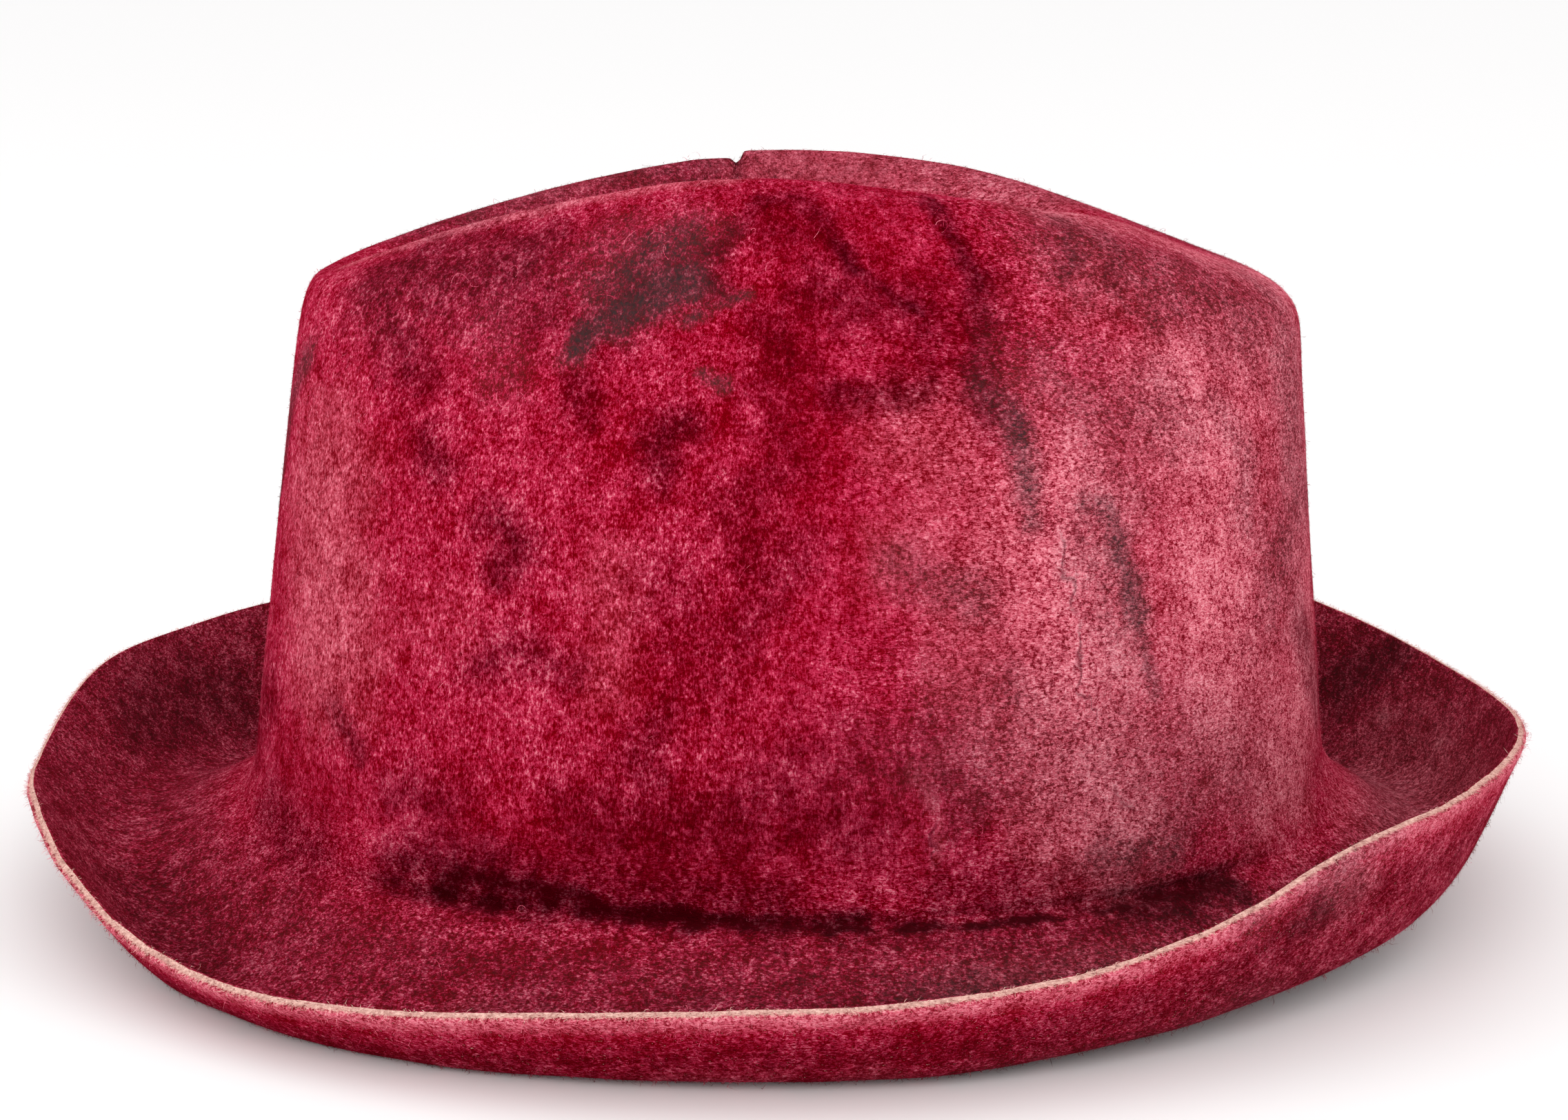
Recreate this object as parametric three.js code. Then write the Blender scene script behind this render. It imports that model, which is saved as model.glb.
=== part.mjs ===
// A soft felt fedora with no band: one felt body, blocked into a crown with a teardrop dent and a brim
// that rolls up all round to a raw cut edge. Millimetres. +X is the back of the hat, -X the front, -Y
// the near side, +Y the far side and +Z up. The hat rests on its rolled brim at z = 0.
import * as THREE from 'three';

const FELT_THICKNESS = 2.3;
const FELT_COLOR = 0x9c1c38;
const COLUMNS_AROUND = 72;

// The outer skin is drawn along named lines that run round the hat, from the brim's cut edge up over
// the crown and down into the dent. front, back and side are the line's reach from the origin, egg makes
// the plan fuller at the back, and square makes it squarer than an ellipse (2). soft is the share of both
// neighbouring spans that the bend at the line takes up, and turns the steps round that bend.
const LINES = [
  { name: 'brim_edge', front: 147.5, back: 146.5, side: 128, egg: 0, square: 2, soft: 0, turns: 0 },
  { name: 'brim_belly', front: 130, back: 134, side: 113, egg: 0, square: 2, soft: 0.9, turns: 5 },
  { name: 'brim_break', front: 104.5, back: 109, side: 84.5, egg: 0.03, square: 2.1, soft: 0.5, turns: 4 },
  { name: 'wall_foot', front: 101.5, back: 107, side: 82, egg: 0.03, square: 2.1, soft: 0.9, turns: 2 },
  { name: 'wall_head', front: 95.3, back: 102.5, side: 73, egg: 0.04, square: 2.15, soft: 0.9, turns: 3 },
  { name: 'shoulder', front: 91.5, back: 101.5, side: 51, egg: 0.05, square: 2.2, soft: 0.65, turns: 4 },
  { name: 'ridge', front: 83.5, back: 61.5, side: 39, egg: 0.27, square: 2.1, soft: 0.5, turns: 4 },
  { name: 'dent_wall', front: 77, back: 51, side: 25, egg: 0.27, square: 2, soft: 0.9, turns: 3 },
  { name: 'dent_floor', front: 70, back: 42, side: 5, egg: 0.3, square: 2, soft: 0, turns: 0 },
];

// Heights of each line over the table, in twelve columns 30 degrees apart, going round from the back by
// the far side. The brim is less even than the crown: its halfway rows give the heights midway from each
// column to the next.
const HEIGHTS = {
  // columns: back, back_far, far_back, far, far_front, front_far,
  //          front, front_near, near_front, near, near_back, back_near
  brim_edge: [35.5, 37.5, 39.5, 31.5, 32.5, 36.5, 27, 19.5, 13.5, 19.5, 27, 37.5],
  brim_edge_halfway: [34.5, 41, 35.5, 29.5, 37, 35.5, 27, 13, 17, 21, 37.5, 38.5],
  brim_belly: [9, 3, -4.5, -5.2, -5, 5, 12, -1.5, -4, -3.4, -0.3, 4],
  brim_break: [26, 21, 19, 19, 19, 21, 23, 20, 19.5, 19.5, 19.5, 21],
  wall_foot: [51, 51, 51, 51, 51, 51, 51, 51, 51, 51, 51, 51],
  wall_head: [101, 102, 103, 103, 103, 102, 101, 102, 103, 103, 103, 102],
  shoulder: [121.5, 123, 132.5, 137.5, 132, 126, 123.5, 126, 134, 143, 136.5, 125],
  ridge: [135.5, 137.5, 142.3, 143, 136, 128.8, 125, 131.2, 141.5, 148.3, 146, 140.5],
  dent_wall: [128, 127.5, 127.5, 127.5, 126, 125, 123.5, 125, 126, 127.5, 127.5, 127.5],
  dent_floor: [123, 122, 121, 121, 121, 121, 121, 121, 121, 121, 121, 122],
};

// The height of a line at an angle: a smooth closed curve through its columns.
function heightAt(line, angle) {
  const columns = HEIGHTS[line.name];
  const halfway = HEIGHTS[`${line.name}_halfway`];
  const heights = halfway ? columns.flatMap((height, i) => [height, halfway[i]]) : columns;
  const place = (angle / (2 * Math.PI)) * heights.length;
  const start = Math.floor(place);
  const t = place - start;
  const pick = (step) => heights[(start + step + heights.length) % heights.length];
  const [before, from, to, after] = [pick(-1), pick(0), pick(1), pick(2)];
  const slopeFrom = (to - before) / 2;
  const slopeTo = (after - from) / 2;
  const rise = to - from;
  return from + slopeFrom * t
    + (3 * rise - 2 * slopeFrom - slopeTo) * t * t
    + (slopeFrom + slopeTo - 2 * rise) * t * t * t;
}

function pointOnLine(line, angle) {
  const halfLength = (line.front + line.back) / 2;
  const middle = (line.back - line.front) / 2;
  const rounded = (value) => Math.sign(value) * Math.abs(value) ** (2 / line.square);
  const along = rounded(Math.cos(angle));
  const across = rounded(Math.sin(angle));
  return new THREE.Vector3(
    middle + halfLength * along,
    line.side * across * (1 + line.egg * along),
    heightAt(line, angle),
  );
}

// One meridian of the outer skin: the lines' points at an angle, joined straight and rounded at each line.
function meridian(angle) {
  const corners = LINES.map((line) => pointOnLine(line, angle));
  const points = [corners[0]];
  for (let i = 1; i < LINES.length; i += 1) {
    const { soft, turns } = LINES[i];
    const next = corners[i + 1] ?? corners[i];
    const entry = corners[i].clone().lerp(corners[i - 1], soft / 2);
    const exit = corners[i].clone().lerp(next, soft / 2);
    const bend = new THREE.QuadraticBezierCurve3(entry, corners[i], exit);
    points.push(entry);
    for (let step = 1; step <= turns; step += 1) {
      points.push(bend.getPoint(step / turns));
    }
  }
  return points;
}

// Outer skin as rows of points: rows run round the hat, from the cut edge inwards to the dent's floor.
function outerRows() {
  const angles = Array.from({ length: COLUMNS_AROUND }, (_, i) => (2 * Math.PI * i) / COLUMNS_AROUND);
  const meridians = angles.map(meridian);
  return meridians[0].map((_, row) => meridians.map((points) => points[row]));
}

// Triangles of a skin: the bands between rows, and strips across the slot that the last row leaves.
function skinTriangles(rowCount) {
  const around = COLUMNS_AROUND;
  const triangles = [];
  for (let row = 0; row < rowCount - 1; row += 1) {
    for (let i = 0; i < around; i += 1) {
      const a = row * around + i;
      const b = row * around + ((i + 1) % around);
      triangles.push([a, b, b + around], [a, b + around, a + around]);
    }
  }
  const last = (rowCount - 1) * around;
  for (let i = 0; i < around / 2; i += 1) {
    const [a, b] = [last + i, last + i + 1];
    const [c, d] = [last + ((around - i - 1) % around), last + ((around - i) % around)];
    if (b !== c) {
      triangles.push([a, b, c]);
    }
    if (a !== d) {
      triangles.push([a, c, d]);
    }
  }
  return triangles;
}

function skinNormals(points, triangles) {
  const normals = points.map(() => new THREE.Vector3());
  for (const [a, b, c] of triangles) {
    const across = points[b].clone().sub(points[a]);
    const up = points[c].clone().sub(points[a]);
    const normal = across.cross(up);
    for (const corner of [a, b, c]) {
      normals[corner].add(normal);
    }
  }
  return normals.map((normal) => normal.normalize());
}

// The felt: the outer skin, an inner skin one thickness under it, and the raw cut edge between the two.
// Where the rolled brim would press below the table it is flattened on it.
function feltGeometry() {
  const rows = outerRows();
  const outer = rows.flat();
  const triangles = skinTriangles(rows.length);
  const normals = skinNormals(outer, triangles);
  const inner = outer.map((point, i) => {
    const under = point.clone().addScaledVector(normals[i], -FELT_THICKNESS);
    under.z = Math.max(under.z, 0);
    return under;
  });
  const index = triangles.flat();
  for (const [a, b, c] of triangles) {
    index.push(a + outer.length, c + outer.length, b + outer.length);
  }
  for (let i = 0; i < COLUMNS_AROUND; i += 1) {
    const next = (i + 1) % COLUMNS_AROUND;
    index.push(i, i + outer.length, next + outer.length);
    index.push(i, next + outer.length, next);
  }
  const geometry = new THREE.BufferGeometry();
  geometry.setAttribute(
    'position',
    new THREE.Float32BufferAttribute([...outer, ...inner].flatMap((point) => point.toArray()), 3),
  );
  geometry.setIndex(index);
  geometry.computeVertexNormals();
  return geometry;
}

const felt = new THREE.MeshStandardMaterial({ color: FELT_COLOR, roughness: 0.95, metalness: 0 });
const feltBody = new THREE.Mesh(feltGeometry(), felt);
feltBody.name = 'felt_body';
// The origin is under the middle of the hat's outline.
const middle = new THREE.Box3().setFromObject(feltBody).getCenter(new THREE.Vector3());
feltBody.position.set(-middle.x, -middle.y, 0);

const fedora = new THREE.Group();
fedora.add(feltBody);

export default fedora;
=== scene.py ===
import math

import bmesh
import bpy
import numpy as np
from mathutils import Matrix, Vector, kdtree, noise
from mathutils.bvhtree import BVHTree


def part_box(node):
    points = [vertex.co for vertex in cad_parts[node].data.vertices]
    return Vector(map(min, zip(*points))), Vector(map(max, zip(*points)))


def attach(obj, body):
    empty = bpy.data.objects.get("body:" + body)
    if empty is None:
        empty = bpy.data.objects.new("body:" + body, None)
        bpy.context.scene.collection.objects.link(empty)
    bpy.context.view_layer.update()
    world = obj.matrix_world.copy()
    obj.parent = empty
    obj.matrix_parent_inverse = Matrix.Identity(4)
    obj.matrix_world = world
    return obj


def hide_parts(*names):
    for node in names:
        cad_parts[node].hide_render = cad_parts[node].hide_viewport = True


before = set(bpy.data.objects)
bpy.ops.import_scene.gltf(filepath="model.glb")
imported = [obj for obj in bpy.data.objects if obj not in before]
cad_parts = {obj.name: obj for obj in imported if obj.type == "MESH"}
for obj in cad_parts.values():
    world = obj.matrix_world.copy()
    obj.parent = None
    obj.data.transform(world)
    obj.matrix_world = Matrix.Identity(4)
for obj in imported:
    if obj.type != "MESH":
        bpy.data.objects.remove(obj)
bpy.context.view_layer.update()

MM = 0.001

# Camera: a long lens a little above the brim, looking square at the hat's near side.
low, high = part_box("felt_body")
middle = (low + high) / 2
CAMERA_ASIDE = 1.5 * MM
CAMERA_AWAY = 700 * MM
CAMERA_UP = 231.5 * MM
CAMERA_TILT = math.radians(13.3)
bpy.ops.object.camera_add(
    location=(middle.x + CAMERA_ASIDE, middle.y - CAMERA_AWAY, CAMERA_UP),
    rotation=(math.pi / 2 - CAMERA_TILT, 0, 0),
)
camera = bpy.context.object
camera.data.lens = 83.1
camera.data.sensor_width = 36
camera.data.clip_end = 30
bpy.context.scene.camera = camera


# Studio: white matt paper under the hat and a white room round it, a wide softbox over and in front of
# the near side, and a weaker one to each side. Colours are shown as they are lit, with no film curve.
bpy.context.scene.view_settings.view_transform = "Standard"
PAPER = "#FDFCFC"
ROOM = "#FFFFFF"


def linear(hex_colour):
    """A sRGB hex colour as the linear RGBA that shader sockets take."""
    channels = [int(hex_colour[i:i + 2], 16) / 255 for i in (1, 3, 5)]
    return (*[c / 12.92 if c <= 0.04045 else ((c + 0.055) / 1.055) ** 2.4 for c in channels], 1)


def add(tree, kind, sockets=None, **settings):
    """Add a node, set its properties, and fill its inputs with values or links."""
    made = tree.nodes.new(kind)
    for name, value in settings.items():
        setattr(made, name, value)
    for name, value in (sockets or {}).items():
        if isinstance(value, bpy.types.NodeSocket):
            tree.links.new(value, made.inputs[name])
        else:
            made.inputs[name].default_value = value
    return made


def new_material(name):
    """An empty material with its Principled shader, wired to the output."""
    made = bpy.data.materials.new(name)
    made.use_nodes = True
    return made, made.node_tree, made.node_tree.nodes["Principled BSDF"]


# White seamless paper: matt, with almost no reflection of the lamps or the hat.
bpy.ops.object.select_all(action="DESELECT")
bpy.ops.mesh.primitive_plane_add(size=10, location=(0, 0, 0))
floor = bpy.context.object
floor.name = "paper_floor"
paper, tree, shader = new_material("white_seamless_paper")
shader.inputs["Base Color"].default_value = linear(PAPER)
shader.inputs["Roughness"].default_value = 0.9
shader.inputs["Specular IOR Level"].default_value = 0.1
floor.data.materials.append(paper)

room = bpy.data.worlds.new("white_room")
room.use_nodes = True
room.node_tree.nodes["Background"].inputs["Color"].default_value = linear(ROOM)
room.node_tree.nodes["Background"].inputs["Strength"].default_value = 0.97
bpy.context.scene.world = room

# Every softbox faces the middle of the hat.
AIM = Vector((0, 0, 60)) * MM
SOFTBOXES = [
    # name        place (m)            size   watts
    ("over_front", (-0.2, -1.3, 0.95), 1.3, 8),
    ("left", (-1.5, -0.4, 0.75), 0.9, 2),
    ("right", (1.5, -0.4, 0.75), 0.9, 2),
]
for name, place, size, watts in SOFTBOXES:
    turn = (AIM - Vector(place)).to_track_quat("-Z", "Y").to_euler()
    bpy.ops.object.light_add(type="AREA", location=place, rotation=turn)
    box = bpy.context.object
    box.name = "softbox_" + name
    box.data.shape = "SQUARE"
    box.data.size = size
    box.data.energy = watts


# Felt body: one cone of wool felt, steamed over a crown block and a brim block, so crown and brim are one
# wall with no seam. The brim is rolled up by hand and its edge is cut raw. The mesh starts as a merged copy
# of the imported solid; it is refined, and then pushed about as soft felt is.
bpy.ops.object.select_all(action="DESELECT")
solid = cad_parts["felt_body"]
solid.select_set(True)
bpy.context.view_layer.objects.active = solid
bpy.ops.object.duplicate()
felt = bpy.context.object
felt.parent = None
felt.name = "felt"
bpy.ops.object.mode_set(mode="EDIT")
bpy.ops.mesh.select_all(action="SELECT")
bpy.ops.mesh.remove_doubles(threshold=0.01 * MM)
for most in (math.radians(50), math.pi):
    bpy.ops.mesh.tris_convert_to_quads(face_threshold=most, shape_threshold=most)

# The two skins, either side of the cut edge: the outer one holds the top of the crown.
form = bmesh.from_edit_mesh(felt.data)
form.verts.index_update()
form.faces.index_update()
arrises = {e for e in form.edges if e.calc_face_angle() > math.radians(60)}
top_face = max(form.faces, key=lambda f: f.calc_center_median().z)


def spread_from(start, fences):
    """All faces reached from one face without crossing the fence edges."""
    found, waiting = {start}, [start]
    while waiting:
        for edge in waiting.pop().edges:
            beyond = [] if edge in fences else [f for f in edge.link_faces if f not in found]
            found.update(beyond)
            waiting += beyond
    return found


outside = spread_from(top_face, arrises)
cut_face = {f for f in form.faces if sum(e in arrises for e in f.edges) == 2}
inside = set(form.faces) - outside - cut_face


def skin_tree(faces):
    """A search tree over one skin of the felt."""
    faces = sorted(faces, key=lambda f: f.index)
    corners = sorted({v for f in faces for v in f.verts}, key=lambda v: v.index)
    row = {v: i for i, v in enumerate(corners)}
    return BVHTree.FromPolygons([v.co.copy() for v in corners], [[row[v] for v in f.verts] for f in faces])


outer_skin = skin_tree(outside)
inner_skin = skin_tree(inside)
for edge in form.edges:
    edge.select_set(edge in arrises)
bmesh.update_edit_mesh(felt.data)
bpy.ops.mesh.bevel(offset=0.45 * MM, segments=2, profile=0.5, affect="EDGES")


def sort_faces():
    """Put the faces in the order of their corners, since subdividing leaves their order to chance."""
    form = bmesh.from_edit_mesh(felt.data)
    form.verts.index_update()
    form.faces.sort(key=lambda f: f.verts[0].index * 1e5 + f.verts[1].index)
    bmesh.update_edit_mesh(felt.data)


# Finer mesh where the far ridge is pinched.
PINCH = Vector((-8, 40, 141)) * MM
PINCH_REACH = 13 * MM
bpy.ops.mesh.select_all(action="DESELECT")
form = bmesh.from_edit_mesh(felt.data)
for face in form.faces:
    face.select_set((face.calc_center_median() - PINCH).length < PINCH_REACH)
bmesh.update_edit_mesh(felt.data)
bpy.ops.mesh.subdivide(number_cuts=1)
sort_faces()
bpy.ops.object.mode_set(mode="OBJECT")
finer = felt.modifiers.new("finer", "SUBSURF")
finer.levels = 2
finer.render_levels = 2
bpy.ops.object.modifier_apply(modifier=finer.name)

# Coarser mesh inside the crown, where little is seen, and finer on the near wall, where the dye's edges are.
CROWN_MIDDLE = 2.5
CROWN_HALF = (98, 76)
bpy.ops.object.mode_set(mode="EDIT")
bpy.ops.mesh.select_mode(type="VERT")
bpy.ops.mesh.select_all(action="DESELECT")
form = bmesh.from_edit_mesh(felt.data)
for vertex in form.verts:
    place = vertex.co / MM
    from_middle = math.hypot((place.x - CROWN_MIDDLE) / CROWN_HALF[0], place.y / CROWN_HALF[1])
    if from_middle < 1 and place.z > 30:
        vertex.select_set(inner_skin.find_nearest(vertex.co)[3] < outer_skin.find_nearest(vertex.co)[3])
form.select_flush(True)
bmesh.update_edit_mesh(felt.data)
bpy.ops.mesh.unsubdivide(iterations=2)
bpy.ops.mesh.select_mode(type="FACE")
bpy.ops.mesh.select_all(action="DESELECT")
form = bmesh.from_edit_mesh(felt.data)
for face in form.faces:
    place = face.calc_center_median()
    near_wall = face.normal.y < -0.35 and place.y < 0 and place.z > 17 * MM
    face.select_set(near_wall and outer_skin.find_nearest(place)[3] < 0.8 * MM)
bmesh.update_edit_mesh(felt.data)
bpy.ops.mesh.subdivide(number_cuts=1, smoothness=1)
sort_faces()
bpy.ops.object.mode_set(mode="OBJECT")

# Where each point lies in the felt: 0 on the outer skin, 1 on the inner, and between on the cut edge.
# edge_away is its distance in millimetres from the cut edge, and outward points out through the felt.
count = len(felt.data.vertices)
spots = np.empty(count * 3)
felt.data.vertices.foreach_get("co", spots)
spots = spots.reshape(-1, 3)
through = np.zeros(count)
edge_away = np.zeros(count)
outward = np.zeros((count, 3))
for i, spot in enumerate(spots):
    _, normal, _, to_outer = outer_skin.find_nearest(spot)
    to_inner = inner_skin.find_nearest(spot)[3]
    through[i] = to_outer / (to_outer + to_inner)
    outward[i] = normal
on_cut = np.flatnonzero((through > 0.35) & (through < 0.65))
cut_line = kdtree.KDTree(len(on_cut))
for i in on_cut:
    cut_line.insert(spots[i], int(i))
cut_line.balance()
for i, spot in enumerate(spots):
    edge_away[i] = cut_line.find(spot)[2] / MM
# Off the cut edge, each point is on one skin or the other.
off_cut = (edge_away > 2.2) | (through < 0.14) | (through > 0.9)
through[off_cut] = np.round(through[off_cut])


def bump_at(points, size, seed):
    """Smooth noise from -1 to 1 at each point, its lumps about size metres across."""
    shift = Vector((seed * 7.3, seed * 3.1, seed * 5.7))
    return np.array([noise.noise(Vector(p) / size + shift) for p in points])


def hump(value, middle, width):
    """1 at the middle, fading smoothly to nothing at about twice the width."""
    return np.exp(-(((value - middle) / width) ** 2))


def ramp(value, start, end):
    """0 before the start, 1 past the end, and smooth between."""
    part = np.clip((value - start) / (end - start), 0, 1)
    return part * part * (3 - 2 * part)


x, y, z = (spots / MM).T

# The break is the bend where the crown's wall turns out into the brim: break_past runs across it, from
# minus on the wall to plus on the brim, in millimetres.
BREAK_HALF = (106.7, 84.5)
BREAK_HEIGHT = 20
BREAK_SQUARE = 2.1
plan = ((np.abs(x - CROWN_MIDDLE) / BREAK_HALF[0]) ** BREAK_SQUARE
        + (np.abs(y) / BREAK_HALF[1]) ** BREAK_SQUARE) ** (1 / BREAK_SQUARE)
# plan is 1 over the break's oval and more outside it; from_break is how far outside, in millimetres.
reach = np.hypot(x - CROWN_MIDDLE, y)
from_break = reach - reach / plan - 1.6
break_past = 0.63 * from_break - 0.77 * (z - BREAK_HEIGHT)
bearing = np.degrees(np.arctan2(y, x - CROWN_MIDDLE)) % 360

# Soft felt is never quite even: long swells, and shorter ripples along the cut edge.
push = 0.5 * bump_at(spots, 46 * MM, 1) + 0.3 * bump_at(spots, 22 * MM, 2) + 0.1 * bump_at(spots, 9 * MM, 3)
push += (0.45 * bump_at(spots, 24 * MM, 4) + 0.25 * bump_at(spots, 9 * MM, 5)) * np.exp(-edge_away / 9)
# The wall sags over the break on the near side and makes a tight crease there.
sag = ramp(bearing, 205, 222) * (1 - ramp(bearing, 322, 338))
tight = 0.6 + 0.5 * hump(bearing, 226, 12) + 0.5 * hump(bearing, 315, 14)
push += sag * tight * (0.9 * hump(break_past, -5.5, 3.2) - 1.7 * hump(break_past, 0.3, 1.5))
push -= 0.5 * (1 - sag) * hump(break_past, 0.3, 2.5)
# The far ridge was pinched once: a short groove, with the felt behind it standing higher.
on_ridge = ramp(y, 23, 32) * (1 - ramp(y, 48, 60)) * ramp(z, 126, 136)
past_pinch = x - PINCH.x / MM
push -= 2.2 * on_ridge * hump(past_pinch, 0, 0.9)
lift = np.where(past_pinch > 0, 0.8 * np.exp(-past_pinch / 30), -0.7 * np.exp(past_pinch / 16))
lift = lift * ramp(np.abs(past_pinch), 0, 1.2) * on_ridge
# The roll hangs a little lower at its front on the near side.
lift -= 1.8 * hump(x, -112, 17) * hump(y, -58, 22) * (1 - ramp(z, 8, 22))

spots += outward * push[:, None] * MM
spots[:, 2] += lift * MM
# The felt lies on the floor, and doesn't pass it.
spots[:, 2] = np.maximum(spots[:, 2], 0.02 * MM)
felt.data.vertices.foreach_set("co", spots.ravel())
felt.data.update()
felt.data.shade_smooth()

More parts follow.
